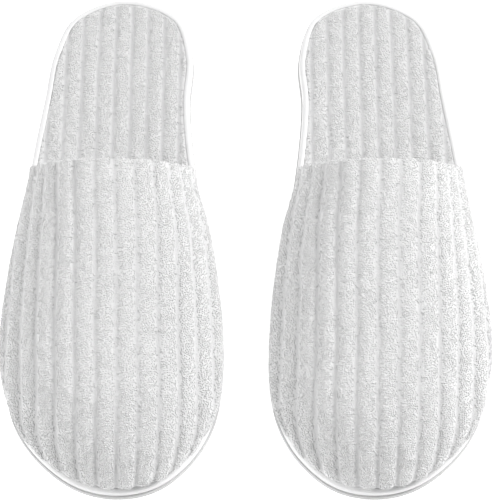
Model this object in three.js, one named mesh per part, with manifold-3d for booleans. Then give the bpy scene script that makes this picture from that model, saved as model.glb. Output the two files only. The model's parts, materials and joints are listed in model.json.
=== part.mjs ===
// A pair of closed-toe spa slippers in white ribbed terry, in millimetres, with +Z up.
// They stand on z = 0 with their toes towards -Y, and the origin is on the floor midway between
// them. The left slipper is at +X and is drawn in its own frame, with +X towards the outer side
// of the foot. The right slipper is its mirror image.
import * as THREE from "three";
import { mergeVertices } from "three/addons/utils/BufferGeometryUtils.js";
import Module from "manifold-3d";

// Plan of the sole
const soleLength = 285.5;
const soleWidth = 112;
const pairGap = 20; // between the two slippers where they come closest
const soleShape = [
  // across, as a share of half the width, and along, as a share of half the length
  [1, -0.427],
  [0.904, 0.014],
  [0.834, 0.315],
  [0.75, 0.56],
  [0.679, 0.757],
  [0.498, 0.918],
  [0, 1],
  [-0.521, 0.919],
  [-0.673, 0.736],
  [-0.652, 0.532],
  [-0.723, 0.224],
  [-0.839, -0.028],
  [-0.955, -0.35],
  [-0.97, -0.532],
  [-0.916, -0.715],
  [-0.736, -0.859],
  [-0.423, -0.968],
  [-0.063, -1],
  [0.309, -0.968],
  [0.667, -0.859],
  [0.88, -0.731],
  [0.973, -0.581],
];

// Sole stack, from the floor up
const outsoleThickness = 3.5;
const boardThickness = 0.8;
const footbedFoamThickness = 2.4;
const footbedTerryThickness = 1;

// Binding tape rolled round the edge of the insole
const bindingThickness = 0.5;
const bindingWidth = 2.8; // of each flange, seen from above
const bindingRound = 0.8; // of the rolled edge
const outsoleLedge = 0.7; // how far the outsole stands out past the binding

// Vamp
const vampLength = 180; // from the toe tip to the two side ends of the throat
const vampHeight = 48; // of the throat's crown over the floor
const toeBoxHeight = 36; // of the vamp over the toe centre
const toeSetback = 45; // from the toe tip back to the toe centre, where the lines of the toe meet
const throatDip = 17; // how far the throat's crown lies forward of its side ends
const throatEase = 60; // length of vamp over which that lean dies away
const vampSwell = 0.8; // how far the sides swell out past the outsole
const throatSwell = -1.2; // the same at the throat, where they lean in
const toeSwell = 0; // the same at the toe tip
const swellEase = 45; // length of vamp over which the swell grows from the throat
const swellAngle = 10; // degrees up the arch at which it is greatest
const archFullness = 2.2; // 2 is an ellipse, and more is squarer
const crownFall = 1.5; // 1 falls evenly from throat to toe, and more falls later
const vampTerryThickness = 1.8;
const vampFoamThickness = 1.5;
const vampLiningThickness = 0.6;
const hemThickness = 1.2; // of the terry that is turned in at the throat
const hemWidth = 9;

// Clearances
const layerGap = 0.3; // between curved layers that lie on each other
const footGap = 1; // from the binding to the foot of the vamp
const flexSetback = 2.5; // from the throat's side ends back to the line where the sole bends
const flexGap = 0.4; // between the two halves of a layer at that line

// Facets
const outlineSteps = 64;
const fineSteps = 560; // of the outline that the vamp is measured on
const archAngles = [0, 4, 10, 22, 38, 56, 73, 90]; // degrees from the foot up to the crown
const toeSteps = 14;
const vampStations = [0, 0.07, 0.18, 0.33, 0.48, 0.63, 0.77, 0.89, 1]; // throat to toe centre

// Heights over the floor
const boardBottom = outsoleThickness + bindingThickness;
const foamBottom = boardBottom + boardThickness;
const footbedBottom = foamBottom + footbedFoamThickness;
const footbedTop = footbedBottom + footbedTerryThickness;
const bindingTop = footbedTop + bindingThickness;
const archBottom = bindingTop + layerGap; // the vamp swells out only above the binding

// Insets from the outsole's outline
const bindingEdge = outsoleLedge + bindingWidth;
const insoleInset = outsoleLedge + bindingThickness + layerGap;
const vampInset = bindingEdge + footGap;

// Places along the slipper
const toeTipY = -soleLength / 2;
const throatY = toeTipY + vampLength;
const throatCrownY = throatY - throatDip;
const toeCentreY = toeTipY + toeSetback;
const flexY = throatY + flexSetback;

// Depths under the vamp's outer face
const foamDepth = vampTerryThickness + layerGap;
const liningDepth = foamDepth + vampFoamThickness + layerGap;
const hemDepth = liningDepth + vampLiningThickness + layerGap;

const wasm = await Module();
wasm.setup();

const finish = (color, roughness) =>
  new THREE.MeshStandardMaterial({ color, roughness, metalness: 0 });
const terry = finish(0xececec, 0.95);
const satinTape = finish(0xf4f4f4, 0.55);
const softFoam = finish(0xe9e9e6, 0.9);
const liningCloth = finish(0xf0f0ee, 0.85);
const paperBoard = finish(0xd9d5cc, 0.8);
const evaSole = finish(0xeeeeee, 0.7);

// ---- Outline ----

const solePath = new THREE.CatmullRomCurve3(
  soleShape.map(
    ([across, along]) =>
      new THREE.Vector3((across * soleWidth) / 2, (along * soleLength) / 2, 0),
  ),
  true,
  "centripetal",
);

// The outsole's outline moved inwards by inset, as points that run anticlockwise.
function outline(inset, steps) {
  const points = [];
  for (let i = 0; i < steps; i++) {
    const at = solePath.getPointAt(i / steps);
    const along = solePath.getTangentAt(i / steps);
    points.push(new THREE.Vector2(at.x - along.y * inset, at.y + along.x * inset));
  }
  return points;
}

// The point where a ray from origin leaves the outline that is moved in by inset.
const fineOutlines = new Map();
function edgeFrom(origin, angle, inset) {
  if (!fineOutlines.has(inset)) fineOutlines.set(inset, outline(inset, fineSteps));
  const line = fineOutlines.get(inset);
  const ray = new THREE.Vector2(Math.cos(angle), Math.sin(angle));
  for (let i = 0; i < line.length; i++) {
    const start = line[i].clone().sub(origin);
    const side = line[(i + 1) % line.length].clone().sub(line[i]);
    const cross = ray.cross(side);
    const share = ray.cross(start) / -cross;
    const reach = start.cross(side) / cross;
    if (share >= 0 && share < 1 && reach > 0) {
      return origin.clone().addScaledVector(ray, reach);
    }
  }
  throw new Error("a ray misses the outline");
}

// ---- Solids ----

function solidOf(geometry) {
  const bare = geometry.clone();
  bare.deleteAttribute("normal");
  bare.deleteAttribute("uv");
  const merged = mergeVertices(bare, 1e-4);
  return new wasm.Manifold(
    new wasm.Mesh({
      numProp: 3,
      vertProperties: merged.attributes.position.array,
      triVerts: new Uint32Array(merged.index.array),
    }),
  );
}

function geometryOf(solid) {
  const mesh = solid.getMesh();
  return new THREE.BufferGeometry()
    .setAttribute("position", new THREE.BufferAttribute(mesh.vertProperties, 3))
    .setIndex(new THREE.BufferAttribute(mesh.triVerts, 1));
}

// The front and heel halves of a layer, cut apart at the line where the sole bends.
function halves(geometry) {
  const block = new THREE.BoxGeometry(2 * soleWidth, 2 * soleLength, 2 * vampHeight);
  const shift = soleLength + flexGap / 2;
  const layer = solidOf(geometry);
  const front = block.clone().translate(0, flexY - shift, 0);
  const heel = block.clone().translate(0, flexY + shift, 0);
  return [
    geometryOf(layer.intersect(solidOf(front))),
    geometryOf(layer.intersect(solidOf(heel))),
  ];
}

// A flat layer of the sole.
function slab(inset, bottom, thickness) {
  const shape = new THREE.Shape(outline(inset, outlineSteps));
  const options = { depth: thickness, bevelEnabled: false };
  return new THREE.ExtrudeGeometry(shape, options).translate(0, 0, bottom);
}

// The binding: a tape with a C-shaped section that runs all the way round.
function bindingRing() {
  const outer = outsoleLedge;
  const inner = outer + bindingThickness;
  const section = [
    [bindingEdge, outsoleThickness],
    [bindingEdge, boardBottom],
    [inner, boardBottom],
    [inner, footbedTop],
    [bindingEdge, footbedTop],
    [bindingEdge, bindingTop],
    [outer + bindingRound, bindingTop],
    [outer, bindingTop - bindingRound],
    [outer, outsoleThickness + bindingRound],
    [outer + bindingRound, outsoleThickness],
  ];
  const rings = section.map(([inset, z]) =>
    outline(inset, outlineSteps).map((p) => [p.x, p.y, z]),
  );
  const vertices = rings.flat(2);
  const faces = [];
  for (let ring = 0; ring < section.length; ring++) {
    const next = (ring + 1) % section.length;
    for (let i = 0; i < outlineSteps; i++) {
      const j = (i + 1) % outlineSteps;
      const a = ring * outlineSteps + i;
      const b = ring * outlineSteps + j;
      const c = next * outlineSteps + j;
      const d = next * outlineSteps + i;
      faces.push(a, c, b, a, d, c);
    }
  }
  return indexed(vertices, faces);
}

function indexed(vertices, faces) {
  return new THREE.BufferGeometry()
    .setAttribute("position", new THREE.Float32BufferAttribute(vertices, 3))
    .setIndex(faces);
}

// ---- Vamp ----

// Height over the floor of the vamp's highest line.
function crownHeight(y) {
  const forward = Math.max(0, (throatCrownY - y) / (throatCrownY - toeCentreY));
  return vampHeight - (vampHeight - toeBoxHeight) * forward ** crownFall;
}

// How far up and how far in an arch has come at an angle, as shares of its height and half width.
const riseAt = (angle) => Math.sin(angle) ** (2 / archFullness);
const runAt = (angle) => 1 - Math.max(0, Math.cos(angle)) ** (2 / archFullness);

// How far the vamp's side stands out at an angle up the arch, as a share of its most.
const fullestAngle = THREE.MathUtils.degToRad(swellAngle);
function swellAt(angle) {
  const fall = 1 / Math.tan(fullestAngle) ** 2;
  const shape = (t) => Math.sin(t) * Math.cos(t) ** fall;
  return shape(angle) / shape(fullestAngle);
}

// One side of an arch, from the foot of the vamp up to its crown, at a depth under the outer face.
function halfArch(origin, crown, direction, setback, depth) {
  const base = edgeFrom(origin, direction, vampInset + depth);
  const lean = throatDip * (1 - THREE.MathUtils.smoothstep(setback, 0, throatEase));
  const grown = THREE.MathUtils.smoothstep(setback, 0, swellEase);
  const sides = THREE.MathUtils.lerp(throatSwell, vampSwell, grown);
  const past = THREE.MathUtils.lerp(sides, toeSwell, Math.abs(Math.sin(direction)));
  const fullest = vampInset + past + runAt(fullestAngle) * base.distanceTo(crown);
  const points = archAngles.map((degrees) => {
    const angle = THREE.MathUtils.degToRad(degrees);
    const rise = riseAt(angle);
    const run = runAt(angle);
    const swell = fullest * swellAt(angle);
    const x = base.x + (crown.x - base.x) * run + Math.cos(direction) * swell;
    const y = base.y + (crown.y - base.y) * run + Math.sin(direction) * swell - lean * rise;
    return [x, y, archBottom + (crownHeight(y) - depth - archBottom) * rise];
  });
  return [[base.x, base.y, footbedTop], ...points];
}

// A whole arch, from the outer foot over the crown to the inner foot, a way back from the throat.
function arch(setback, depth) {
  const origin = new THREE.Vector2(0, throatY - setback);
  const outer = edgeFrom(origin, 0, vampInset);
  const inner = edgeFrom(origin, Math.PI, vampInset);
  const crown = new THREE.Vector2((outer.x + inner.x) / 2, origin.y);
  const up = halfArch(origin, crown, 0, setback, depth);
  const down = halfArch(origin, crown, Math.PI, setback, depth).reverse();
  return [...up, ...down.slice(1)];
}

// One layer of the vamp: an outer and an inner skin from the throat to round the toe, with the
// rows of throatEdge between them, closed by a flat foot that stands on the footbed.
function vampLayer(outerDepth, innerDepth, start, throatEdge) {
  const vertices = [];
  const faces = [];
  const crownColumn = archAngles.length;
  const straight = throatY - toeCentreY;

  const addRow = (points) => points.map((point) => vertices.push(point) - 1);
  const join = (a, b, facing) => {
    for (let i = 0; i + 1 < a.length; i++) {
      addFace(a[i], b[i], b[i + 1], facing);
      addFace(a[i], b[i + 1], a[i + 1], facing);
    }
  };
  const addFace = (p, q, r, facing) => {
    if (p === q || q === r || r === p) return;
    faces.push(p, facing > 0 ? q : r, facing > 0 ? r : q);
  };

  const stations = vampStations.map((share) => Math.max(start, share * straight));
  const outer = stations.map((setback) => addRow(arch(setback, outerDepth)));
  const edge = throatEdge.map(([setback, depth]) => addRow(arch(setback, depth)));
  const innerStations = stations.slice(start > 0 ? 0 : 1);
  const inner = innerStations.map((setback) => addRow(arch(setback, innerDepth)));
  const turn = [outer[0], ...edge, inner[0]];
  for (let i = 0; i + 1 < outer.length; i++) join(outer[i + 1], outer[i], 1);
  for (let i = 0; i + 1 < turn.length; i++) join(turn[i], turn[i + 1], 1);
  for (let i = 0; i + 1 < inner.length; i++) join(inner[i + 1], inner[i], -1);

  // The toe's rows turn about the toe centre, from the outer side round to the inner side.
  const toe = (depth, lastArch) => {
    const outerFoot = edgeFrom(new THREE.Vector2(0, toeCentreY), 0, vampInset);
    const innerFoot = edgeFrom(new THREE.Vector2(0, toeCentreY), Math.PI, vampInset);
    const centre = new THREE.Vector2((outerFoot.x + innerFoot.x) / 2, toeCentreY);
    const rows = [lastArch.slice(0, crownColumn + 1)];
    for (let i = 1; i < toeSteps; i++) {
      const points = halfArch(centre, centre, (-Math.PI * i) / toeSteps, straight, depth);
      rows.push([...addRow(points.slice(0, crownColumn)), lastArch[crownColumn]]);
    }
    rows.push(lastArch.slice(crownColumn).reverse());
    return rows;
  };
  const outerToe = toe(outerDepth, outer.at(-1));
  const innerToe = toe(innerDepth, inner.at(-1));
  for (let i = 0; i < toeSteps; i++) {
    join(outerToe[i + 1], outerToe[i], 1);
    join(innerToe[i + 1], innerToe[i], -1);
  }

  // The foot's rim, once round: outer side, inner skin of the toe, inner side, outer skin.
  const side = [...outer.slice().reverse(), ...edge, ...inner];
  const rim = [
    ...side.map((row) => row[0]),
    ...innerToe.slice(1, -1).map((row) => row[0]),
    ...side.map((row) => row.at(-1)).reverse(),
    ...outerToe.slice(1, -1).map((row) => row[0]).reverse(),
  ];
  const flat = rim.map((i) => new THREE.Vector2(vertices[i][0], vertices[i][1]));
  for (const [a, b, c] of THREE.ShapeUtils.triangulateShape(flat, [])) {
    const up = flat[b].clone().sub(flat[a]).cross(flat[c].clone().sub(flat[a])) > 0;
    faces.push(rim[a], up ? rim[c] : rim[b], up ? rim[b] : rim[c]);
  }
  return indexed(vertices.flat(), faces);
}

// The ribbed terry, turned in at the throat over the edges of the foam and the lining.
function vampCover() {
  return vampLayer(0, vampTerryThickness, 0, [
    [0, hemDepth + hemThickness],
    [hemWidth, hemDepth + hemThickness],
    [hemWidth, hemDepth],
    [vampTerryThickness, hemDepth],
    [vampTerryThickness, vampTerryThickness],
  ]);
}

// A layer inside the vamp, which starts inside the fold of the hem.
function vampInner(depth, thickness) {
  return vampLayer(depth, depth + thickness, vampTerryThickness + layerGap, []);
}

// ---- One slipper ----

const pieces = [];
function addHalves(name, material, geometry) {
  const [front, heel] = halves(geometry);
  pieces.push([`${name}_front`, material, front], [`${name}_heel`, material, heel]);
}
addHalves("outsole", evaSole, slab(0, 0, outsoleThickness));
addHalves("insole_board", paperBoard, slab(insoleInset, boardBottom, boardThickness));
addHalves("footbed_foam", softFoam, slab(insoleInset, foamBottom, footbedFoamThickness));
addHalves("footbed_cover", terry, slab(insoleInset, footbedBottom, footbedTerryThickness));
addHalves("edge_binding", satinTape, bindingRing());
pieces.push(
  ["vamp_cover", terry, vampCover()],
  ["vamp_foam", softFoam, vampInner(foamDepth, vampFoamThickness)],
  ["vamp_lining", liningCloth, vampInner(liningDepth, vampLiningThickness)],
);

// ---- The pair ----

function slipper(side, mirror) {
  const one = new THREE.Group();
  for (const [name, material, geometry] of pieces) {
    const mesh = new THREE.Mesh(geometry, material);
    mesh.name = `${side}_${name}`;
    one.add(mesh);
  }
  one.position.x = (mirror * (soleWidth + pairGap)) / 2;
  one.scale.x = mirror;
  return one;
}

const group = new THREE.Group();
group.add(slipper("left", 1), slipper("right", -1));

export default group;
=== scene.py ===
import json
import math

import bmesh
import bpy
import numpy as np
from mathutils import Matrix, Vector
from mathutils.geometry import tessellate_polygon

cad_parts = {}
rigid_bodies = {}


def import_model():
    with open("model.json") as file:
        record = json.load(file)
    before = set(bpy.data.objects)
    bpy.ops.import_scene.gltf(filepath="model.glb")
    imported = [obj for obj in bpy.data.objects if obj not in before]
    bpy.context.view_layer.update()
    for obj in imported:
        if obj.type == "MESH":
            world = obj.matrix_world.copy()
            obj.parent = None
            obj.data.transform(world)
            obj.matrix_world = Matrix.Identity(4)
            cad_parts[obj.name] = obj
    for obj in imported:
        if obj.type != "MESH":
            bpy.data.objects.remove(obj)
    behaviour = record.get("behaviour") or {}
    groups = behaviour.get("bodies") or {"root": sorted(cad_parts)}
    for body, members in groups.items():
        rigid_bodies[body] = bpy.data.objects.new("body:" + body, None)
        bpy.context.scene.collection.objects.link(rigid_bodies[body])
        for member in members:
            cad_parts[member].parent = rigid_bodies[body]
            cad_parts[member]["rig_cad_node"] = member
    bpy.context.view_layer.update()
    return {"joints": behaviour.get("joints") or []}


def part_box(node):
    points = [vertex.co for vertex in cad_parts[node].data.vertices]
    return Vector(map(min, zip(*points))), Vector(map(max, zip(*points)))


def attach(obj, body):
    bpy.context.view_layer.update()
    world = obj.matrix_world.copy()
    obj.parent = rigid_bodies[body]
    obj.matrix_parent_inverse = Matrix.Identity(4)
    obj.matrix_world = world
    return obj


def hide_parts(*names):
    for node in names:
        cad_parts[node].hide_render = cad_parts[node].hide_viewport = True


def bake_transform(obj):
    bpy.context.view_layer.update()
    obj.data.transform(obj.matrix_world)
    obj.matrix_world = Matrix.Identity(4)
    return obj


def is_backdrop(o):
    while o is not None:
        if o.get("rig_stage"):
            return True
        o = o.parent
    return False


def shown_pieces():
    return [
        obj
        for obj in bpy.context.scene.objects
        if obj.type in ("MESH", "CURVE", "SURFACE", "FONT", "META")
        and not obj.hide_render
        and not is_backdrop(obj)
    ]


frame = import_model()

# Shapes are worked out in millimetres in the left slipper's own frame: +X to the outer side of
# the foot, toes towards -Y. The right slipper is its mirror image.
mm = 0.001
flexJoint = next(j for j in frame["joints"] if j["name"] == "left_heel_flex")
slipperX, flexY, flexZ = (v / mm for v in flexJoint["pos_m"])


def span(node, axis):
    low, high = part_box(node)
    return low[axis] / mm, high[axis] / mm


outsoleTop = span("left_outsole_front", 2)[1]
boardBottom, boardTop = span("left_insole_board_front", 2)
foamBottom, foamTop = span("left_footbed_foam_front", 2)
coverBottom, coverTop = span("left_footbed_cover_front", 2)
bindingTop = span("left_edge_binding_front", 2)[1]
toeTipY = span("left_outsole_front", 1)[0]
heelTipY = span("left_outsole_heel", 1)[1]
print("frame loaded")


sole = {
    "width": 112,
    "shape": [  # across and along, as shares of half the width and half the length
        (1, -0.427), (0.904, 0.014), (0.834, 0.315), (0.75, 0.56), (0.679, 0.757),
        (0.498, 0.918), (0, 1), (-0.521, 0.919), (-0.673, 0.736), (-0.652, 0.532),
        (-0.723, 0.224), (-0.839, -0.028), (-0.955, -0.35), (-0.97, -0.532),
        (-0.916, -0.715), (-0.736, -0.859), (-0.423, -0.968), (-0.063, -1),
        (0.309, -0.968), (0.667, -0.859), (0.88, -0.731), (0.973, -0.581),
    ],
    "steps": 80,  # between two points of the shape
    "rows": 330,  # from toe to heel
    "capColumns": 8,  # across an underside that is never seen
}


def curveThrough(knots, steps):
    points = []
    for k in range(len(knots)):
        a, b, c, d = (knots[(k + shift) % len(knots)] for shift in (-1, 0, 1, 2))
        ab, bc, cd = (np.linalg.norm(q - p) ** 0.5 for p, q in ((a, b), (b, c), (c, d)))
        leave = ((b - a) / ab - (c - a) / (ab + bc) + (c - b) / bc) * bc
        arrive = ((c - b) / bc - (d - b) / (bc + cd) + (d - c) / cd) * bc
        t = np.arange(steps)[:, None] / steps
        points.append(
            b
            + leave * t
            + (3 * (c - b) - 2 * leave - arrive) * t**2
            + (2 * (b - c) + leave + arrive) * t**3
        )
    return np.concatenate(points)


soleLine = curveThrough(
    np.array(sole["shape"]) * [sole["width"] / 2, (heelTipY - toeTipY) / 2], sole["steps"]
)
soleTangent = np.roll(soleLine, -1, 0) - np.roll(soleLine, 1, 0)
soleTangent /= np.linalg.norm(soleTangent, axis=1)[:, None]
soleInward = np.stack([-soleTangent[:, 1], soleTangent[:, 0]], 1)


def smooth(x, low, high):
    t = np.clip((np.asarray(x, float) - low) / (high - low), 0, 1)
    return t * t * (3 - 2 * t)


def alongLine(at, along, points):  # points at new places on a line, each value on its own
    return np.stack([np.interp(at, along, p) for p in points.T], 1)


def spaced(points, count):  # the same line cut in equal steps, and its length
    steps = np.linalg.norm(np.diff(points, axis=0), axis=1)
    along = np.concatenate([[0], np.cumsum(steps)])
    at = np.linspace(0, along[-1], count + 1)
    return alongLine(at, along, points), along[-1]


def soleSides():  # points with their inward direction: outer side, and inner side beside it
    toe, heel = np.argmin(soleLine[:, 1]), np.argmax(soleLine[:, 1])
    both = np.concatenate([soleLine, soleInward], 1)
    both = np.roll(both, -toe, 0)
    heel = (heel - toe) % len(both)
    outer = both[: heel + 1]
    inner = np.concatenate([both[heel:], both[:1]])[::-1]
    steps = np.linalg.norm(np.diff(outer[:, :2], axis=0), axis=1)
    along = np.concatenate([[0], np.cumsum(steps)])
    at = np.linspace(0, along[-1], sole["rows"] + 1)
    outerRows = alongLine(at, along, outer)
    innerRows = alongLine(outerRows[:, 1], inner[:, 1], inner)
    innerRows[0], innerRows[-1] = outerRows[0], outerRows[-1]
    return outerRows, innerRows


outerSide, innerSide = soleSides()


def sideLines(inset):
    return [s[:, :2] + s[:, 2:] * inset for s in (outerSide, innerSide)]


def ringAt(inset, z):  # once round the sole
    outer, inner = sideLines(inset)
    ring = np.concatenate([outer, inner[-2:0:-1]])
    return np.column_stack([ring, np.full(len(ring), z)])


insetLines = {}  # outlines that edgeFrom has made already


def edgeFrom(origin, angle, inset):  # where a ray leaves the outline moved in by inset
    if inset not in insetLines:
        insetLines[inset] = soleLine + soleInward * inset
    line = insetLines[inset]
    rayX, rayY = math.cos(angle), math.sin(angle)
    startX, startY = (line - origin).T
    sideX, sideY = (np.roll(line, -1, 0) - line).T
    cross = rayX * sideY - rayY * sideX
    cross[np.abs(cross) < 1e-12] = 1e-12
    share = -(rayX * startY - rayY * startX) / cross
    reach = (startX * sideY - startY * sideX) / cross
    hit = np.nonzero((share >= 0) & (share < 1) & (reach > 0))[0][0]
    return np.array(origin) + np.array([rayX, rayY]) * reach[hit]


sides = {"left": 1, "right": -1}


def gridFaces(index):
    a, b, c, d = index[:-1, :-1], index[:-1, 1:], index[1:, 1:], index[1:, :-1]
    return np.stack([a, b, c, d], -1).reshape(-1, 4).tolist()


def makeMesh(name, side, points, faces, merge=0.0, **values):
    mesh = bpy.data.meshes.new(name)
    placed = (np.asarray(points) + [slipperX, 0, 0]) * [sides[side], 1, 1] * mm
    faces = [list(dict.fromkeys(f)) for f in faces]
    mesh.from_pydata(placed.tolist(), [], [f for f in faces if len(f) > 2])
    for label, numbers in values.items():
        mesh.attributes.new(label, "FLOAT", "POINT").data.foreach_set(
            "value", np.asarray(numbers, np.float32)
        )
    shell = bmesh.new()
    shell.from_mesh(mesh)
    if merge:
        bmesh.ops.remove_doubles(shell, verts=shell.verts, dist=merge * mm)
    bmesh.ops.recalc_face_normals(shell, faces=shell.faces)
    shell.to_mesh(mesh)
    shell.free()
    mesh.shade_smooth()
    return mesh


def makeObject(name, mesh, material=None):
    made = bpy.data.objects.new(name, mesh)
    bpy.context.scene.collection.objects.link(made)
    if material:
        mesh.materials.clear()
        mesh.materials.append(material)
    return made


# A flat layer of the sole. The profile runs up its edge as (inset, height), and crown lifts its
# top face.
def soleLayer(profile, columns, crown=None):
    points, faces, rings, start = [], [], [], 0
    for inset, z in profile:
        points.append(ringAt(inset, z))
        rings.append(np.arange(len(points[-1])) + start)
        start += len(points[-1])
    for low, high in zip(rings, rings[1:]):
        pair = np.stack([np.append(low, low[0]), np.append(high, high[0])])
        faces += gridFaces(pair)
    for (inset, z), isTop in ((profile[0], False), (profile[-1], True)):
        outer, inner = sideLines(inset)
        share = np.linspace(0, 1, (columns if isTop else sole["capColumns"]) + 1)[None, :, None]
        cap = outer[:, None] * (1 - share) + inner[:, None] * share
        flat = cap.reshape(-1, 2)
        heights = np.full(len(flat), z)
        if isTop and crown is not None:
            heights = heights + crown(flat)
        points.append(np.column_stack([flat, heights]))
        faces += gridFaces(np.arange(len(flat)).reshape(cap.shape[:2]) + start)
        start += len(flat)
    return np.concatenate(points), faces


def addNode(tree, kind, inputs=None, **settings):
    made = tree.nodes.new(kind)
    for key, value in settings.items():
        setattr(made, key, value)
    for socket, value in (inputs or {}).items():
        if isinstance(value, bpy.types.NodeSocket):
            tree.links.new(value, made.inputs[socket])
        else:
            made.inputs[socket].default_value = value
    return made


def nodeOut(tree, kind, inputs=None, **settings):  # a new node's first output
    return addNode(tree, kind, inputs, **settings).outputs[0]


def maths(tree, operation, a, b=0.0):
    return nodeOut(tree, "ShaderNodeMath", {0: a, 1: b}, operation=operation)


def times(tree, a, b):
    return maths(tree, "MULTIPLY", a, b)


def plus(tree, a, b):
    return maths(tree, "ADD", a, b)


def minus(tree, a, b):
    return maths(tree, "SUBTRACT", a, b)


def readValue(tree, label):
    return nodeOut(tree, "GeometryNodeInputNamedAttribute", {"Name": label}, data_type="FLOAT")


def cloud(tree, place, size, detail, **more):  # noise whose lumps are size millimetres
    inputs = {"Vector": place, "Scale": 1 / (size * mm), "Detail": detail}
    inputs.update({key.title(): value for key, value in more.items()})
    return nodeOut(tree, "ShaderNodeTexNoise", inputs)


waveOnce = 0.31  # scale of a wave texture whose bands repeat once a metre


def startTree(name, *labels):  # a tree that takes a mesh, these numbers and a material
    tree = bpy.data.node_groups.new(name, "GeometryNodeTree")
    kinds = {label: "Int" if label == "Seed" else "Float" for label in labels}
    for label, kind in {"Geometry": "Geometry", **kinds, "Material": "Material"}.items():
        tree.interface.new_socket(label, in_out="INPUT", socket_type="NodeSocket" + kind)
    tree.interface.new_socket("Geometry", in_out="OUTPUT", socket_type="NodeSocketGeometry")
    return tree, addNode(tree, "NodeGroupInput").outputs


def endTree(tree, geometry, material):
    real = addNode(tree, "GeometryNodeRealizeInstances", {0: geometry})
    painted = addNode(
        tree, "GeometryNodeSetMaterial", {"Geometry": real.outputs[0], "Material": material}
    )
    addNode(tree, "NodeGroupOutput", {0: painted.outputs[0]})
    return tree


def grown(name, mesh, tree, **inputs):  # a plain mesh made by a tree from a guide mesh
    guide = makeObject(name + "_guide", mesh)
    modifier = guide.modifiers.new(tree.name, "NODES")
    modifier.node_group = tree
    sockets = {s.name: s.identifier for s in tree.interface.items_tree if s.in_out == "INPUT"}
    for label, value in inputs.items():
        spoken = "".join(" " + c.lower() if c.isupper() else c for c in label).title()
        modifier[sockets[spoken]] = value
    graph = bpy.context.evaluated_depsgraph_get()
    graph.update()
    result = bpy.data.meshes.new_from_object(guide.evaluated_get(graph), depsgraph=graph)
    bpy.data.objects.remove(guide)
    result.name = name
    result.shade_smooth()
    return makeObject(name, result)


def startMaterial(name, color, roughness, **constants):
    material = bpy.data.materials.new(name)
    material.use_nodes = True
    tree = material.node_tree
    shader = tree.nodes["Principled BSDF"]
    shader.inputs["Base Color"].default_value = (*color, 1)
    shader.inputs["Roughness"].default_value = roughness
    for key, value in constants.items():
        words = "".join(" " + c if c.isupper() else c for c in key)
        shader.inputs[words[0].upper() + words[1:]].default_value = value
    place = addNode(tree, "ShaderNodeTexCoord").outputs["Object"]
    return material, tree, shader, place


def tinted(tree, shader, share, low, high):
    mix = addNode(tree, "ShaderNodeMix", data_type="RGBA")
    tree.links.new(share, mix.inputs[0])
    mix.inputs[6].default_value = (*low, 1)
    mix.inputs[7].default_value = (*high, 1)
    tree.links.new(mix.outputs[2], shader.inputs["Base Color"])


def bumped(tree, shader, height, strength, depth):
    bump = addNode(
        tree, "ShaderNodeBump", {"Height": height, "Strength": strength, "Distance": depth * mm}
    )
    tree.links.new(bump.outputs[0], shader.inputs["Normal"])


terryLook = {
    "pale": (0.82, 0.82, 0.82),
    "shaded": (0.60, 0.60, 0.605),  # painted shade at the bottom of a groove between two ribs
    "tone": {"vamp": 1.0, "footbed": 0.93},
    "grooveShade": {"vamp": 1.8, "footbed": 2.8},
    "grooveCurve": 3.0,  # the higher, the narrower the line of painted shade
    "strandContrast": 0.4,  # between one loop and the next
    # random mottle, and painted shade in the hollows between loops
    "mottle": 0.025,
    "loopSize": 0.75,
    "patchSize": 9,
    "roughness": 0.95,
    "sheen": 0.25,
    "bumpStrength": 0.9,
    "bumpDepth": 0.6,
}


def terryMaterial(name, part):
    look = terryLook
    tone, grooveShade = look["tone"][part], look["grooveShade"][part]
    pale, shaded = ([v * tone for v in look[key]] for key in ("pale", "shaded"))
    material, tree, shader, place = startMaterial(
        name, pale, look["roughness"], sheenWeight=look["sheen"], sheenRoughness=0.6
    )
    loops = cloud(tree, place, look["loopSize"], 3.0, distortion=1.2)
    patches = cloud(tree, place, look["patchSize"], 2.0)
    groove = addNode(tree, "ShaderNodeAttribute", attribute_name="groove").outputs["Fac"]
    loopTone = addNode(tree, "ShaderNodeAttribute", attribute_name="tone").outputs["Fac"]
    # painted shade: darker where the loop bump is low, in the hollows between loops
    loopHollowShade = times(tree, minus(tree, 0.6, loops), look["mottle"] * 10)
    worn = times(tree, minus(tree, 0.5, patches), look["mottle"] * 2)
    strand = times(tree, loopTone, look["strandContrast"])
    # painted shade: the grooves between the ribs are coloured darker, more deeply on the footbed
    deep = times(tree, maths(tree, "POWER", groove, look["grooveCurve"]), grooveShade)
    share = plus(tree, plus(tree, deep, strand), plus(tree, loopHollowShade, worn))
    clamped = nodeOut(tree, "ShaderNodeClamp", {0: share})
    tinted(tree, shader, clamped, pale, shaded)
    bumped(tree, shader, loops, look["bumpStrength"], look["bumpDepth"])
    return material


satinLook = {
    "shade": (0.76, 0.76, 0.765),
    "pale": (0.82, 0.82, 0.82),
    "smoothest": 0.34,  # roughness, and how much it grows in places
    "rougher": 0.2,
    "sheen": 0.3,
    "threadSize": 0.45,
    "patchSize": 6,
    "bumpStrength": 0.25,
    "bumpDepth": 0.08,
}


def satinMaterial():
    look = satinLook
    material, tree, shader, place = startMaterial(
        "satinBinding", look["pale"], look["smoothest"], sheenWeight=look["sheen"],
        sheenRoughness=0.35,
    )
    scale = waveOnce / (look["threadSize"] * mm)
    weave = addNode(
        tree,
        "ShaderNodeTexWave",
        {"Vector": place, "Scale": scale, "Distortion": 1.5, "Detail": 2.0},
        bands_direction="DIAGONAL",
    ).outputs["Fac"]
    soft = cloud(tree, place, look["patchSize"], 3.0)
    tinted(tree, shader, soft, look["shade"], look["pale"])
    rough = times(tree, soft, look["rougher"])
    rough = plus(tree, rough, look["smoothest"])
    tree.links.new(rough, shader.inputs["Roughness"])
    bumped(tree, shader, weave, look["bumpStrength"], look["bumpDepth"])
    return material


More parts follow.
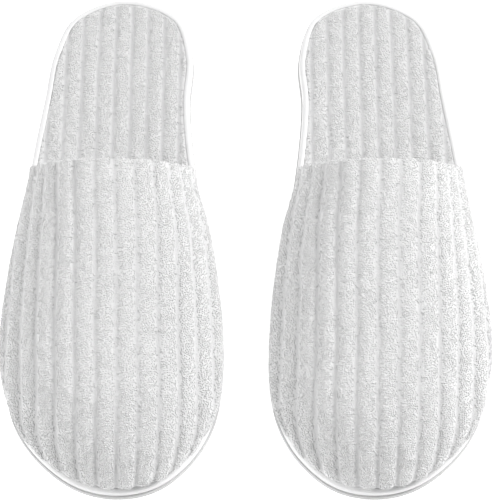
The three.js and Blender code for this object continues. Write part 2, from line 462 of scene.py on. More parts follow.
def wovenMaterial(name, color, shade, threadSize, roughness, depth):
    material, tree, shader, place = startMaterial(name, color, roughness, sheenWeight=0.1)
    threads = []
    for direction in ("X", "Y"):
        threads.append(
            addNode(
                tree,
                "ShaderNodeTexWave",
                {"Vector": place, "Scale": waveOnce / (threadSize * mm), "Distortion": 0.8},
                bands_direction=direction,
            ).outputs["Fac"]
        )
    weave = times(tree, *threads)
    tinted(tree, shader, weave, shade, color)
    bumped(tree, shader, weave, 0.5, depth)
    return material


def grainMaterial(name, color, shade, roughness, grain, depth, patchSize=14):
    material, tree, shader, place = startMaterial(name, color, roughness)
    cells = addNode(
        tree, "ShaderNodeTexVoronoi", {"Vector": place, "Scale": 1 / (grain * mm)}
    ).outputs["Distance"]
    share = times(tree, cells, cloud(tree, place, patchSize, 4.0))
    tinted(tree, shader, share, color, shade)
    bumped(tree, shader, cells, 0.4, depth)
    return material


plainLooks = {  # grain, threadSize and depth in millimetres
    "lining": {
        "name": "liningWeave", "color": (0.8, 0.8, 0.79), "shade": (0.66, 0.66, 0.65),
        "roughness": 0.85, "threadSize": 0.6, "depth": 0.15,
    },
    "foam": {
        "name": "openFoam", "color": (0.8, 0.8, 0.77), "shade": (0.6, 0.6, 0.57),
        "roughness": 0.9, "grain": 0.5, "depth": 0.3,
    },
    "board": {
        "name": "paperBoard", "color": (0.68, 0.65, 0.6), "shade": (0.55, 0.52, 0.47),
        "roughness": 0.85, "grain": 0.9, "depth": 0.1,
    },
    "eva": {
        "name": "evaSole", "color": (0.6, 0.6, 0.6), "shade": (0.5, 0.5, 0.5),
        "roughness": 0.6, "grain": 0.8, "depth": 0.08,
    },
    "thread": {
        "name": "hemThread", "color": (0.84, 0.84, 0.84), "shade": (0.7, 0.7, 0.7),
        "roughness": 0.6, "grain": 0.3, "depth": 0.05,
    },
}
materials = {
    "terry": terryMaterial("ribbedTerry", "vamp"),
    "footbedTerry": terryMaterial("footbedTerry", "footbed"),
    "satin": satinMaterial(),
}
for key, look in plainLooks.items():
    materials[key] = (wovenMaterial if "threadSize" in look else grainMaterial)(**look)
print("materials made")


ribShape = {  # shares of a rib's height
    "grooveFloor": 0.32,
    "grooveBlend": 0.3,
    "base": 0.7,  # height of the smooth surface it is pushed out of
    "wanderSize": 22,  # length in millimetres over which a rib wanders
}


# Ribs and loop relief pushed out of a smooth terry surface. Its attributes are "across", the way
# round the ribs in millimetres, and "pile", how much of the relief a point gets.
def reliefTree():
    tree, given = startTree(
        "terryRelief", "Rib Pitch", "Groove Place", "Rib Height", "Rib Fullness", "Wander",
        "Loop Size", "Loop Height", "Seed",
    )
    place = nodeOut(tree, "GeometryNodeInputPosition")

    def noise(size, detail):
        scale = maths(tree, "DIVIDE", 1.0, size)
        fac = nodeOut(
            tree,
            "ShaderNodeTexNoise",
            {"Vector": place, "W": given["Seed"], "Scale": scale, "Detail": detail},
            noise_dimensions="4D",
        )
        return minus(tree, fac, 0.5)

    across = times(tree, readValue(tree, "across"), mm)
    wander = noise(ribShape["wanderSize"] * mm, 1.0)
    wander = times(tree, wander, given["Wander"])
    shifted = plus(tree, across, wander)
    shifted = minus(tree, shifted, given["Groove Place"])
    phase = maths(tree, "FRACT", maths(tree, "DIVIDE", shifted, given["Rib Pitch"]))
    off = minus(tree, times(tree, phase, 2.0), 1.0)
    off = maths(tree, "ABSOLUTE", off)
    dome = minus(tree, 1.0, maths(tree, "POWER", off, given["Rib Fullness"]))
    ridge = nodeOut(
        tree,
        "ShaderNodeMath",
        {0: dome, 1: ribShape["grooveFloor"], 2: ribShape["grooveBlend"]},
        operation="SMOOTH_MAX",
    )
    lift = minus(tree, ridge, ribShape["base"])
    lift = times(tree, lift, given["Rib Height"])
    # the noise seldom leaves a quarter of its range
    loopLift = times(tree, given["Loop Height"], 4.0)
    loopLift = times(tree, noise(given["Loop Size"], 2.0), loopLift)
    pile = readValue(tree, "pile")
    push = times(tree, plus(tree, lift, loopLift), pile)
    normal = nodeOut(tree, "GeometryNodeInputNormal")
    offset = nodeOut(tree, "ShaderNodeVectorMath", {0: normal, "Scale": push}, operation="SCALE")
    groove = times(tree, minus(tree, 1.0, ridge), pile)
    stored = nodeOut(
        tree,
        "GeometryNodeStoreNamedAttribute",
        {"Geometry": given["Geometry"], "Name": "groove", "Value": groove},
        data_type="FLOAT",
        domain="POINT",
    )
    moved = nodeOut(tree, "GeometryNodeSetPosition", {"Geometry": stored, "Offset": offset})
    return endTree(tree, moved, given["Material"])


curl = {
    "tilt": 0.4,  # radians either way
    "lengths": (0.7, 1.25),  # shares of its length, and of its width
    "thickness": (0.65, 1.05),
    "mostPerSquareMetre": 4.0e6,
    "draws": {"turn": 3.0, "tilt": 7.0, "length": 11.0, "thickness": 17.0, "tone": 29.0},
}


# Terry loops: short low-poly curls scattered over the pile.
def loopTree():
    tree, given = startTree(
        "terryLoops", "Spacing", "Loop Length", "Loop Width", "Bare From", "Bare To", "Seed"
    )
    ridge = nodeOut(
        tree,
        "ShaderNodeMapRange",
        {
            "Value": readValue(tree, "groove"),
            "From Min": given["Bare From"],
            "From Max": given["Bare To"],
            "To Min": 1.0,
            "To Max": 0.0,
        },
    )
    pile = times(tree, readValue(tree, "loops"), ridge)
    scattered = addNode(
        tree,
        "GeometryNodeDistributePointsOnFaces",
        {
            "Mesh": given["Geometry"],
            "Distance Min": given["Spacing"],
            "Density Max": curl["mostPerSquareMetre"],
            "Density Factor": pile,
            "Seed": given["Seed"],
        },
        distribute_method="POISSON",
    )
    bead = nodeOut(tree, "GeometryNodeMeshUVSphere", {"Segments": 4, "Rings": 2, "Radius": 0.5})

    def chance(draw, low, high):
        seed = plus(tree, given["Seed"], curl["draws"][draw])
        return addNode(
            tree, "FunctionNodeRandomValue", {2: low, 3: high, "Seed": seed}, data_type="FLOAT"
        ).outputs[1]

    turn = nodeOut(
        tree,
        "ShaderNodeCombineXYZ",
        {"X": chance("tilt", -curl["tilt"], curl["tilt"]), "Z": chance("turn", 0.0, 6.283)},
    )
    spun = nodeOut(
        tree,
        "FunctionNodeRotateRotation",
        {0: scattered.outputs["Rotation"], 1: turn},
        rotation_space="LOCAL",
    )
    size = nodeOut(
        tree,
        "ShaderNodeCombineXYZ",
        {
            "X": times(tree, given["Loop Length"], chance("length", *curl["lengths"])),
            "Y": given["Loop Width"],
            "Z": maths(
                tree, "MULTIPLY", given["Loop Width"], chance("thickness", *curl["thickness"])
            ),
        },
    )
    copies = nodeOut(
        tree,
        "GeometryNodeInstanceOnPoints",
        {"Points": scattered.outputs["Points"], "Instance": bead, "Rotation": spun, "Scale": size},
    )
    toned = nodeOut(
        tree,
        "GeometryNodeStoreNamedAttribute",
        {"Geometry": copies, "Name": "tone", "Value": chance("tone", 0.0, 1.0)},
        data_type="FLOAT",
        domain="INSTANCE",
    )
    return endTree(tree, toned, given["Material"])


relief = reliefTree()
terryLoops = loopTree()


def scaled(look, *keys):  # what a tree is given, in metres
    return {key: look[key] * mm for key in keys}


def terryCover(name, mesh, look, groovePlace, seed, material):
    given = scaled(look, "ribPitch", "ribHeight", "wander", "loopSize", "loopHeight")
    given["groovePlace"] = groovePlace * mm
    given["ribFullness"] = look["ribFullness"]
    return grown(name, mesh, relief, **given, seed=seed, material=material)


def terryCurls(name, cover, look, seed, material):
    given = scaled(look, "spacing", "loopLength", "loopWidth")
    bare = {key: look[key] for key in ("bareFrom", "bareTo")}
    return grown(name, cover.data.copy(), terryLoops, **given, **bare, seed=seed, material=material)


def declare(piece, side, nodes, bends=False):
    if bends:
        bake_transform(piece)
    else:
        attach(piece, side + "_slipper")
    if nodes:
        ends = ("_front", "_heel") if bends else ("",)
        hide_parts(*[side + "_" + n + end for n in nodes for end in ends])


outsole = {
    "round": 0.3,  # of its edges
    "lift": 0.2,  # of the underside over the floor, between the pips
    "columns": 90,
    "pipPitch": 5.0,
    "pipRadius": 1.3,
    "pipInset": 7.0,
    "pipSink": 0.1,  # of its base into the outsole
    "pipClear": 0.005,  # of its tip over the floor
}


def outsoleProfile():
    r, low, high = outsole["round"], outsole["lift"], outsoleTop
    bends = [math.radians(a) for a in (0, 22.5, 45, 67.5, 90)]
    under = [(r - r * math.sin(a), low + r - r * math.cos(a)) for a in bends]
    over = [(r - r * math.cos(a), high - r + r * math.sin(a)) for a in bends]
    return [(2 * r, low)] + under + over + [(2 * r, high)]


def pipTree():
    tree, given = startTree("solePips", "Pip Radius", "Pip Height")
    pip = nodeOut(
        tree,
        "GeometryNodeMeshCone",
        {
            "Vertices": 10,
            "Side Segments": 1,
            "Radius Top": times(tree, given["Pip Radius"], 0.7),
            "Radius Bottom": given["Pip Radius"],
            "Depth": given["Pip Height"],
        },
    )
    turned = nodeOut(tree, "GeometryNodeTransform", {"Geometry": pip, "Rotation": (math.pi, 0, 0)})
    points = nodeOut(tree, "GeometryNodeMeshToPoints", {"Mesh": given["Geometry"]})
    copies = nodeOut(tree, "GeometryNodeInstanceOnPoints", {"Points": points, "Instance": turned})
    return endTree(tree, copies, given["Material"])


pips = pipTree()


def pipPlaces():  # staggered rows inside the outline
    pitch = outsole["pipPitch"]
    outer, inner = sideLines(outsole["pipInset"])
    places = []
    for row, y in enumerate(np.arange(outer[0, 1], outer[-1, 1], pitch * math.sqrt(0.75))):
        right, left = (np.interp(y, s[:, 1], s[:, 0]) for s in (outer, inner))
        shift = pitch / 2 * (row % 2)
        first = math.ceil((left - shift) / pitch)
        for k in range(first, math.floor((right - shift) / pitch) + 1):
            places.append((k * pitch + shift, y, outsole["lift"] + outsole["pipSink"]))
    return places


for side in sides:
    points, faces = soleLayer(outsoleProfile(), outsole["columns"])
    mesh = makeMesh(side + "_outsole", side, points, faces, merge=0.01)
    piece = makeObject(side + "_outsole", mesh, materials["eva"])
    declare(piece, side, ["outsole"], bends=True)
    mesh = makeMesh(side + "_pipPoints", side, pipPlaces(), [])
    piece = grown(
        side + "_sole_pips",
        mesh,
        pips,
        pipRadius=outsole["pipRadius"] * mm,
        pipHeight=(outsole["lift"] + outsole["pipSink"] - outsole["pipClear"]) * mm,
        material=materials["eva"],
    )
    declare(piece, side, [], bends=True)
print("outsoles made")


insole = {
    "inset": 1.55,  # from the outsole's edge, inside the binding
    "boardRound": 0.25,
    "foamRound": 0.7,
    "foamCrown": 0.25,  # how much the padding stands up in the middle
    "crownTo": 14,  # inset at which it reaches that
    "foamDrop": 0.27,  # of its edge, to leave room for the crown
    "boardColumns": 24,
    "foamColumns": 40,
}


def roundedProfile(inset, low, high, r):
    bends = [math.radians(a) for a in (0, 30, 60, 90)]
    under = [(inset + r - r * math.sin(a), low + r - r * math.cos(a)) for a in bends]
    over = [(inset + r - r * math.cos(a), high - r + r * math.sin(a)) for a in bends]
    return under + over


def insetOf(flat):  # how far each point lies inside the sole's outline
    line = soleLine[::4]
    return np.concatenate(
        [
            np.sqrt(((part[:, None] - line[None]) ** 2).sum(-1).min(1))
            for part in np.array_split(flat, 60)
        ]
    )


footbed = {
    "seed": {"left": 11, "right": 23},
    "round": 0.4,
    "underGap": 0.02,  # to the foam
    "topGap": 0.03,  # to the top of the cover's share of the sole
    "loopsFrom": 75,  # how far in front of the flex the loops start, under the vamp
    "pileRise": 0.6,  # of the terry over the binding's lower face
    "riseFrom": 3.7,  # insets between which it rises
    "riseTo": 5.0,
    "columns": 112,
    "ribPitch": 8.75,
    "groovePlace": 4.3,
    "ribHeight": 1.3,
    "ribFullness": 2.2,
    "wander": 1.0,
    "loopSize": 2.0,  # of the relief, and how high it stands
    "loopHeight": 0.24,
    "spacing": 0.95,  # between loops
    "loopLength": 1.65,
    "loopWidth": 1.05,
    "bareFrom": 0.34,  # groove depths between which the loops stop, as shares of a rib's height
    "bareTo": 0.54,
}

binding = {
    "ledge": 0.7,  # of outsole outside it
    "width": 3.2,
    "tape": 0.5,
    "topRound": 1.7,
    "footRound": 0.9,
    "edgeRound": 0.1,  # of the tape's cut edge
}


def bindingSection():
    out, tape = binding["ledge"], binding["tape"]
    inner, edge = out + tape, out + binding["width"]
    low, high = outsoleTop, bindingTop
    top, foot = binding["topRound"], binding["footRound"]
    section = [(edge, low), (edge, low + tape), (inner, low + tape), (inner, high - tape)]
    blunt = edge - binding["edgeRound"]
    section += [(blunt, high - tape), (edge, high - tape / 2), (blunt, high)]
    for a in np.radians((90, 72, 54, 36, 18, 0)):
        section.append((out + top - top * math.cos(a), high - top + top * math.sin(a)))
    for a in np.radians((0, 30, 60, 90)):
        section.append((out + foot - foot * math.cos(a), low + foot - foot * math.sin(a)))
    return section


def bindingRing():
    points = [ringAt(inset, z) for inset, z in bindingSection()]
    index = np.arange(sum(len(p) for p in points)).reshape(len(points), -1)
    index = np.concatenate([index, index[:, :1]], 1)
    index = np.concatenate([index, index[:1]], 0)
    return np.concatenate(points), gridFaces(index)


def foamCrown(flat):
    return insole["foamCrown"] * smooth(insetOf(flat), insole["inset"], insole["crownTo"])


def pileAt(flat):  # how much of the pile a point of the footbed has
    return smooth(insetOf(flat), footbed["riseFrom"], footbed["riseTo"])


for side in sides:
    inset = insole["inset"]
    profile = roundedProfile(inset, boardBottom, boardTop, insole["boardRound"])
    layer = soleLayer(profile, insole["boardColumns"])
    mesh = makeMesh(side + "_insole_board", side, *layer, merge=0.01)
    piece = makeObject(side + "_insole_board", mesh, materials["board"])
    declare(piece, side, ["insole_board"], bends=True)

    top = foamTop - insole["foamDrop"]
    profile = roundedProfile(inset, foamBottom, top, insole["foamRound"])
    layer = soleLayer(profile, insole["foamColumns"], foamCrown)
    mesh = makeMesh(side + "_footbed_foam", side, *layer, merge=0.01)
    piece = makeObject(side + "_footbed_foam", mesh, materials["foam"])
    declare(piece, side, ["footbed_foam"], bends=True)

    low, high = coverBottom + footbed["underGap"], coverTop - footbed["topGap"]
    profile = roundedProfile(inset, low, high, footbed["round"])
    points, faces = soleLayer(
        profile, footbed["columns"], lambda flat: footbed["pileRise"] * pileAt(flat)
    )
    pile = np.where(points[:, 2] > (coverBottom + coverTop) / 2, pileAt(points[:, :2]), 0)
    seen = np.where(points[:, 1] > flexY - footbed["loopsFrom"], pile, 0)
    mesh = makeMesh(
        side + "_footbed", side, points, faces, merge=0.01,
        across=points[:, 0], pile=pile, loops=seen,
    )
    look, seed, terry = footbed, footbed["seed"][side], materials["footbedTerry"]
    cover = terryCover(side + "_footbed_cover", mesh, look, look["groovePlace"], seed, terry)
    curls = terryCurls(side + "_footbed_loops", cover, look, seed, terry)
    declare(cover, side, ["footbed_cover"], bends=True)
    declare(curls, side, [], bends=True)

    points, faces = bindingRing()
    mesh = makeMesh(side + "_edge_binding", side, points, faces, merge=0.005)
    piece = makeObject(side + "_edge_binding", mesh, materials["satin"])
    declare(piece, side, ["edge_binding"], bends=True)
print("insoles made")


vamp = {
    "length": 180,  # from the toe tip to the two side ends of the throat
    "height": 48,  # of the throat's crown over the floor
    "toeHeight": 36,
    "toeSetback": 45,
    "throatDip": 17,
    "throatEase": 60,
    "swell": 0.4,
    "throatSwell": -1.5,
    "toeSwell": -1.5,
    "swellEase": 45,
    "swellAngle": 10,
    "fullness": 2.2,
    "fall": 1.5,
    "inset": 4.5,
    "footGap": 0.3,  # from the binding up to where the arch starts
    "terry": 1.8,
    "foam": 1.5,
    "lining": 0.6,
    "gap": 0.3,
    "hem": 1.2,
    "hemWidth": 9,
    "foldRound": 1.3,  # of the two bends of the folded edge
    "foldOut": 0.2,  # how far the folded edge stands out
    "edgeArch": 1.0,  # how far it is pulled back at the crown, and forward at its ends
    "edgeEase": (3, 16),  # setbacks between which that fades
    "footFade": 4.0,  # height over which the relief grows from the binding
    "footPile": 0.45,  # share of the relief left at the binding
    "hemPile": 0.4,  # and inside the hem
    "seamBare": 0.8,  # how near the hem's seam it stops
    "corner": 0.3,  # cut off the corners of the hidden edges
    "seed": {"left": 31, "right": 47},
    "paddingGrid": (36, 50, 60),  # columns, rows and toe rows
    "liningGrid": (50, 70, 80),
    "halfColumns": 86,
    "rows": 138,
    "toeRows": 150,
    "toePinch": 0.12,  # how far the ribs draw together at the toe
    "toeSeamEase": 15,
    "toeRibInset": 0.8,  # how far out the ribs are counted there
    "ribPitch": 10.4,
    "groovePlace": {"left": -2.3, "right": -3.6},
    "ribHeight": 1.55,
    "ribFullness": 2.2,
    "wander": 1.3,
    "loopSize": 2.1,
    "loopHeight": 0.24,
    "spacing": 0.92,
    "loopLength": 1.6,
    "loopWidth": 1.0,
    "bareFrom": 0.45,
    "bareTo": 0.65,
}
hemSeam = {
    "setback": 6.9, "depth": 0.1, "length": 2.8, "gap": 1.0, "width": 0.7,
    "columns": 60, "ends": 3,  # columns left out at each end
}
throatY = toeTipY + vamp["length"]
crownY = throatY - vamp["throatDip"]
toeCentreY = toeTipY + vamp["toeSetback"]
straight = throatY - toeCentreY
archBottom = bindingTop + vamp["footGap"]
foamDepth = vamp["terry"] + vamp["gap"]
liningDepth = foamDepth + vamp["foam"] + vamp["gap"]
hemDepth = liningDepth + vamp["lining"] + vamp["gap"]


def crownHeight(y):
    forward = np.maximum(0, (crownY - y) / (crownY - toeCentreY))
    return vamp["height"] - (vamp["height"] - vamp["toeHeight"]) * forward ** vamp["fall"]


def riseAt(angle):
    return np.sin(angle) ** (2 / vamp["fullness"])


def runAt(angle):
    return 1 - np.maximum(0, np.cos(angle)) ** (2 / vamp["fullness"])


fullestAngle = math.radians(vamp["swellAngle"])
swellFall = 1 / math.tan(fullestAngle) ** 2


def swellAt(angle):
    shape = lambda t: np.sin(t) * np.maximum(0, np.cos(t)) ** swellFall
    return shape(angle) / shape(fullestAngle)


archAngles = np.radians(90) * np.linspace(0, 1, 260) ** 1.35  # closer together at the foot


def halfArch(origin, crown, direction, setback, depth):
    base = edgeFrom(origin, direction, vamp["inset"] + depth)
    reach = crown - base
    lean = vamp["throatDip"] * (1 - smooth(setback, 0, vamp["throatEase"]))
    eased = smooth(setback, 0, vamp["swellEase"])
    sideSwell = vamp["throatSwell"] + (vamp["swell"] - vamp["throatSwell"]) * eased
    past = sideSwell + (vamp["toeSwell"] - sideSwell) * abs(math.sin(direction))
    fullest = vamp["inset"] + past + runAt(fullestAngle) * np.linalg.norm(reach)
    rise, run, swell = riseAt(archAngles), runAt(archAngles), fullest * swellAt(archAngles)
    x = base[0] + reach[0] * run + math.cos(direction) * swell
    edge = vamp["edgeArch"] * (2 * rise**1.5 - 1) * (1 - smooth(setback, *vamp["edgeEase"]))
    y = base[1] + reach[1] * run + math.sin(direction) * swell - lean * rise + edge
    z = archBottom + (crownHeight(y) - depth - archBottom) * rise
    return np.concatenate([[[*base, coverTop]], np.column_stack([x, y, z])])


swellField = {}  # how far the padding pushes the vamp out, on a coarse grid of each patch


def swollen(patch, at, count):
    if patch not in swellField:
        return 0
    grid = swellField[patch]
    row = min(max(at, 0), 1) * (len(grid) - 1)
    k = min(int(row), len(grid) - 2)
    line = grid[k] * (k + 1 - row) + grid[k + 1] * (row - k)
    share, coarse = np.linspace(0, 1, count + 1), np.linspace(0, 1, len(line))
    return np.stack([np.interp(share, coarse, move) for move in line.T], 1)


def arch(setback, depth, half):  # points, and the way across from the crown
    y = throatY - setback
    outer = edgeFrom((0, y), 0, vamp["inset"])
    inner = edgeFrom((0, y), math.pi, vamp["inset"])
    crown = np.array([(outer[0] + inner[0]) / 2, y])
    up, upLength = spaced(halfArch((0, y), crown, 0, setback, depth), half)
    down, downLength = spaced(halfArch((0, y), crown, math.pi, setback, depth), half)
    share = np.linspace(1, 0, half + 1)
    across = np.concatenate([share * upLength, -share[-2::-1] * downLength])
    points = np.concatenate([up, down[-2::-1]])
    return points + swollen("body", setback / straight, 2 * half), across


def toeFan(depth, half, count):
    outer = edgeFrom((0, toeCentreY), 0, vamp["inset"])
    inner = edgeFrom((0, toeCentreY), math.pi, vamp["inset"])
    centre = np.array([(outer[0] + inner[0]) / 2, toeCentreY])
    rays = []
    for i in range(1, count):
        turn = -math.pi * i / count
        ray = spaced(halfArch(centre, centre, turn, straight, depth), half)[0]
        rays.append((ray + swollen("toe", i / count, half))[:-1])
    return np.array(rays), centre


def acrossToe(flat, centre):  # the way across on a line of constant y over the toe
    turns = -np.linspace(0, math.pi, 61)
    reach = [np.linalg.norm(edgeFrom(centre, t, vamp["toeRibInset"]) - centre) for t in turns]
    share = np.linspace(0, 1, 40)[:, None]
    dx, dy = (flat - centre).T
    x = share * dx
    turn = np.arctan2(np.minimum(dy, -1e-9), x)
    radius = np.interp(-turn, -turns, reach)
    far = np.clip(np.hypot(x, dy) / radius, 0, 1)
    rise = (1 - far ** vamp["fullness"]) ** (1 / vamp["fullness"])
    z = archBottom + (crownHeight(flat[:, 1]) - archBottom) * rise
    length = np.hypot(np.diff(x, axis=0), np.diff(z, axis=0)).sum(0)
    draw = 1 + vamp["toePinch"] * (dy / vamp["toeSetback"]) ** 2
    return np.sign(dx) * length * draw


def vampShell(outerDepth, innerDepth, path, half, rows, toeRows):
    # path: the (setback, depth) of the rows round the throat between the two skins
    points, across, pile, faces = [], [], [], []

    def add(block, ways, weight):
        first = sum(len(p) for p in points)
        points.append(block)
        across.append(ways)
        pile.append(np.full(len(block), weight) if np.isscalar(weight) else weight)
        return np.arange(first, first + len(block))

    first = path[0][0]
    stations = first + (straight - first) * np.linspace(1, 0, rows + 1)
    outerRows = [add(*arch(s, outerDepth, half), 1.0) for s in stations[:-1]]
    turnRows = [add(*arch(s, d, half), w) for s, d, w in path]
    last = path[-1][0]
    stations = last + (straight - last) * np.linspace(0, 1, rows + 1)
    innerRows = [add(*arch(s, innerDepth, half), 0.0) for s in stations[1:]]
    body = np.array(outerRows + turnRows + innerRows)
    faces += gridFaces(body)
    toes = []
    for depth, lastRow, weight in ((outerDepth, body[0], 1.0), (innerDepth, body[-1], 0.0)):
        rays, centre = toeFan(depth, half, toeRows)
        flat = rays[..., :2].reshape(-1, 2)
        seam, ways = arch(straight, depth, half)
        gap = ways - acrossToe(seam[:, :2], centre)  # closed where the toe meets the rest
        gap = np.where(rays[..., 0] > centre[0], gap[:half], gap[:half:-1])
        gap *= 1 - smooth(centre[1] - rays[..., 1], 0, vamp["toeSeamEase"])
        index = add(rays.reshape(-1, 3), acrossToe(flat, centre) + gap.ravel(), weight)
        index = index.reshape(len(rays), half)
        pole = np.full((len(rays), 1), lastRow[half])
        fan = np.concatenate([index, pole], 1)
        fan = np.concatenate([lastRow[None, : half + 1], fan, lastRow[None, : half - 1 : -1]])
        faces += gridFaces(fan)
        toes.append(index[:, 0].tolist())
    rim = body[:, 0].tolist() + toes[1] + body[::-1, -1].tolist() + toes[0][::-1]
    allPoints = np.concatenate(points)
    ring = [Vector((*allPoints[i, :2], 0)) for i in rim]
    faces += [[rim[i] for i in t] for t in tessellate_polygon([ring])]
    return allPoints, faces, np.concatenate(across), np.concatenate(pile)


# The padding swells the vamp: a coarse sheet held at its foot and throat is blown up as cloth.
swell = {
    "halfColumns": 17,
    "rows": 27,
    "toeRows": 30,
    "pressure": 22.0,
    "uneven": 0.8,  # share of the pressure that varies from place to place
    "frames": 20,
    "most": 1.2,
    "stiffness": 30,
    "bending": 4.0,
    "mass": 0.2,
    "quality": 6,
    "seed": 5,
}


def swellVamp():
    half, rows, toeRows = swell["halfColumns"], swell["rows"], swell["toeRows"]
    body = np.array([arch(straight * k / rows, 0, half)[0] for k in range(rows + 1)])
    rays, _ = toeFan(0, half, toeRows)
    wide = 2 * half + 1
    index = np.arange((rows + 1) * wide).reshape(rows + 1, wide)
    rayIndex = np.arange(rays.shape[0] * half).reshape(-1, half) + index.size
    pole = np.full((len(rays), 1), index[-1, half])
    fan = np.concatenate([rayIndex, pole], 1)
    fan = np.concatenate([index[-1:, : half + 1], fan, index[-1:, : half - 1 : -1]])
    points = np.concatenate([body.reshape(-1, 3), rays.reshape(-1, 3)])
    mesh = makeMesh("vamp_former", "left", points, gridFaces(index) + gridFaces(fan))
    former = makeObject("vamp_former", mesh)
    held = former.vertex_groups.new(name="held")
    held.add([int(v) for v in {*index[0], *index[:, 0], *index[:, -1], *fan[:, 0]}], 1.0, "ADD")
    blown = former.vertex_groups.new(name="blown")
    draw = np.random.default_rng(swell["seed"]).uniform(1 - swell["uneven"], 1, len(points))
    for v, weight in enumerate(draw):
        blown.add([v], float(weight), "ADD")
    cloth = former.modifiers.new("swell", "CLOTH")
    settings = cloth.settings
    settings.quality = swell["quality"]
    settings.mass = swell["mass"]
    settings.tension_stiffness = swell["stiffness"]
    settings.compression_stiffness = swell["stiffness"]
    settings.shear_stiffness = swell["stiffness"] / 2
    settings.bending_stiffness = swell["bending"]
    settings.use_pressure = True
    settings.uniform_pressure_force = swell["pressure"]
    settings.vertex_group_mass = "held"
    settings.vertex_group_pressure = "blown"
    settings.effector_weights.gravity = 0
    cloth.collision_settings.use_collision = False
    for frameNumber in range(1, swell["frames"] + 1):
        bpy.context.scene.frame_set(frameNumber)
    graph = bpy.context.evaluated_depsgraph_get()
    result = former.evaluated_get(graph).to_mesh()
    after = np.array([v.co for v in result.vertices]) / mm - [slipperX, 0, 0]
    bpy.data.objects.remove(former)
    bpy.context.scene.frame_set(1)
    move = after - points
    length = np.linalg.norm(move, axis=1)[:, None]
    print("vamp swells by up to", round(float(length.max()), 2), "mm")
    move *= np.minimum(1, swell["most"] / np.maximum(length, 1e-9))
    swellField["body"], swellField["toe"] = move[index], move[fan]


swellVamp()


def throatPath():  # round the folded edge, along the hem inside, and back into the fold
    deep, r = hemDepth + vamp["hem"], vamp["foldRound"]
    out = vamp["foldOut"]
    bends = np.radians(np.linspace(0, 90, 7))
    path = [(r - r * math.sin(a) - out, r - r * math.cos(a), 1 - 0.5 * a) for a in bends]
    width, cut, pile = vamp["hemWidth"], vamp["corner"], vamp["hemPile"]
    path += [(-out, d, pile) for d in np.linspace(r, deep - r, 5)[1:-1]]
    path += [(r - r * math.cos(a) - out, deep - r + r * math.sin(a), pile) for a in bends]
    for s in np.linspace(r + cut, width - cut, 12):
        path.append((s, deep, pile if abs(s - hemSeam["setback"]) > vamp["seamBare"] else 0))
    path += [(width, deep - cut, 0), (width, hemDepth + cut, 0), (width - cut, hemDepth, 0)]
    path += [(s, hemDepth, 0) for s in np.linspace(width - 1 - cut, vamp["terry"], 5)]
    path += [(vamp["terry"], d, 0) for d in np.linspace(hemDepth, vamp["terry"], 5)[1:]]
    return path


def innerPath(depth, thickness):
    start, cut = foamDepth, vamp["corner"]
    near = min(cut, thickness / 3)
    return [
        (start + cut, depth, 0),
        (start, depth + near, 0),
        (start, depth + thickness - near, 0),
        (start + cut, depth + thickness, 0),
    ]


def vampLayer(name, side, depth, thickness, grid, material):
    path = innerPath(depth, thickness)
    points, faces = vampShell(depth, depth + thickness, path, *grid)[:2]
    return makeObject(name, makeMesh(name, side, points, faces), material)


def stitchTree():
    tree, given = startTree("hemStitches", "Stitch Length", "Stitch Gap", "Thread Width")
    line = nodeOut(tree, "GeometryNodeMeshToCurve", {"Mesh": given["Geometry"]})
    pitch = plus(tree, given["Stitch Length"], given["Stitch Gap"])
    even = nodeOut(
        tree, "GeometryNodeResampleCurve", {"Curve": line, "Length": pitch}, mode="LENGTH"
    )
    along = nodeOut(tree, "GeometryNodeInputTangent")
    facing = nodeOut(tree, "FunctionNodeAlignRotationToVector", {"Vector": along}, axis="X")
    thread = nodeOut(tree, "GeometryNodeMeshUVSphere", {"Segments": 6, "Rings": 4, "Radius": 0.5})
    size = nodeOut(
        tree,
        "ShaderNodeCombineXYZ",
        {"X": given["Stitch Length"], "Y": given["Thread Width"], "Z": given["Thread Width"]},
    )
    copies = nodeOut(
        tree,
        "GeometryNodeInstanceOnPoints",
        {"Points": even, "Instance": thread, "Rotation": facing, "Scale": size},
    )
    return endTree(tree, copies, given["Material"])


stitches = stitchTree()

for side in sides:
    points, faces, across, pile = vampShell(
        0, vamp["terry"], throatPath(), vamp["halfColumns"], vamp["rows"], vamp["toeRows"]
    )
    foot = smooth(points[:, 2], archBottom - 0.5, archBottom + vamp["footFade"])
    pile = pile * (vamp["footPile"] + (1 - vamp["footPile"]) * foot)
    seen = np.minimum(1, pile * 1.8)  # fewer loops only where little of the relief is left
    mesh = makeMesh(side + "_vamp", side, points, faces, across=across, pile=pile, loops=seen)
    look, seed, terry = vamp, vamp["seed"][side], materials["terry"]
    cover = terryCover(side + "_ribbed_vamp", mesh, look, look["groovePlace"][side], seed, terry)
    curls = terryCurls(side + "_vamp_loops", cover, look, seed, terry)
    declare(cover, side, ["vamp_cover"])
    declare(curls, side, [])

    name, grid = side + "_vamp_padding", vamp["paddingGrid"]
    piece = vampLayer(name, side, foamDepth, vamp["foam"], grid, materials["foam"])
    declare(piece, side, ["vamp_foam"])

    name, grid = side + "_vamp_liner", vamp["liningGrid"]
    piece = vampLayer(name, side, liningDepth, vamp["lining"], grid, materials["lining"])
    declare(piece, side, ["vamp_lining"])

    depth = hemDepth + vamp["hem"] + hemSeam["depth"]
    seam = arch(hemSeam["setback"], depth, hemSeam["columns"])[0]
    seam = seam[hemSeam["ends"] : -hemSeam["ends"]]
    mesh = bpy.data.meshes.new(side + "_seam")
    placed = (seam + [slipperX, 0, 0]) * [sides[side], 1, 1] * mm
    mesh.from_pydata(placed.tolist(), [(i, i + 1) for i in range(len(placed) - 1)], [])
    piece = grown(
        side + "_hem_stitches",
        mesh,
        stitches,
        stitchLength=hemSeam["length"] * mm,
        stitchGap=hemSeam["gap"] * mm,
        threadWidth=hemSeam["width"] * mm,
        material=materials["thread"],
    )
    declare(piece, side, [])
print("vamps made")


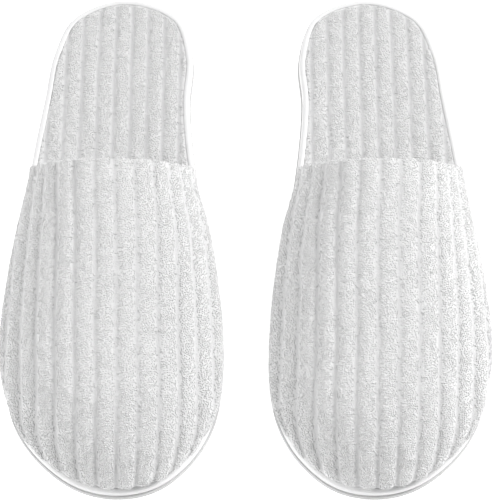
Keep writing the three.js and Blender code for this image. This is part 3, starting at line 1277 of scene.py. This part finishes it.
studio = {
    "floorSize": 8.0,
    "floorDrop": 0.0002,  # under the soles
    "floorColor": (0.9, 0.9, 0.9),
    "floorGlow": 0.62,
    "sky": 0.38,
    "keyPlace": (2.4, 0.9, 1.75),
    "keySize": 1.0,
    "keyPower": 101,
    "fillPlace": (-3.0, -0.5, 1.7),
    "fillSize": 1.4,
    "fillPower": 70,
}


def makeFloor():
    half = studio["floorSize"] / 2
    mesh = bpy.data.meshes.new("studio_floor")
    corners = [(-half, -half, 0), (half, -half, 0), (half, half, 0), (-half, half, 0)]
    mesh.from_pydata(corners, [], [(0, 1, 2, 3)])
    material, _, shader, _ = startMaterial("paleFloor", studio["floorColor"], 0.9)
    shader.inputs["Emission Color"].default_value = (1, 1, 1, 1)
    shader.inputs["Emission Strength"].default_value = studio["floorGlow"]
    floor = makeObject("studio_floor", mesh, material)
    floor.location.z = -studio["floorDrop"]
    floor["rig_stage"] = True


def makeLight(name, place, size, power):
    light = bpy.data.lights.new(name, "AREA")
    light.size, light.energy = size, power
    lamp = bpy.data.objects.new(name, light)
    lamp.location = place
    lamp.rotation_euler = (-Vector(place)).to_track_quat("-Z", "Y").to_euler()
    bpy.context.scene.collection.objects.link(lamp)


makeFloor()
makeLight("keyLight", studio["keyPlace"], studio["keySize"], studio["keyPower"])
makeLight("fillLight", studio["fillPlace"], studio["fillSize"], studio["fillPower"])
world = bpy.data.worlds.new("studio")
world.use_nodes = True
world.node_tree.nodes["Background"].inputs["Color"].default_value = (1, 1, 1, 1)
world.node_tree.nodes["Background"].inputs["Strength"].default_value = studio["sky"]
bpy.context.scene.world = world
bpy.context.scene.view_settings.view_transform = "Standard"

view = {
    "target": (0, -0.00924, 0.005),
    "elevation": 64,
    "distance": 1.0,
    "lens": 139.67,
}
camera = bpy.data.cameras.new("camera")
camera.lens, camera.sensor_width = view["lens"], 36
lookFrom = bpy.data.objects.new("camera", camera)
tilt = math.radians(view["elevation"])
back = Vector((0, -math.cos(tilt), math.sin(tilt)))
lookFrom.location = Vector(view["target"]) + back * view["distance"]
lookFrom.rotation_euler = (-back).to_track_quat("-Z", "Y").to_euler()
bpy.context.scene.collection.objects.link(lookFrom)
bpy.context.scene.camera = lookFrom
print("studio made")

for piece in sorted(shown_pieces(), key=lambda p: p.name):
    if piece.type == "MESH" and "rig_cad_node" not in piece:
        piece.data.calc_loop_triangles()
        area = sum(p.area for p in piece.data.polygons)
        print(piece.name, len(piece.data.loop_triangles), "triangles", round(area, 5), "m2")
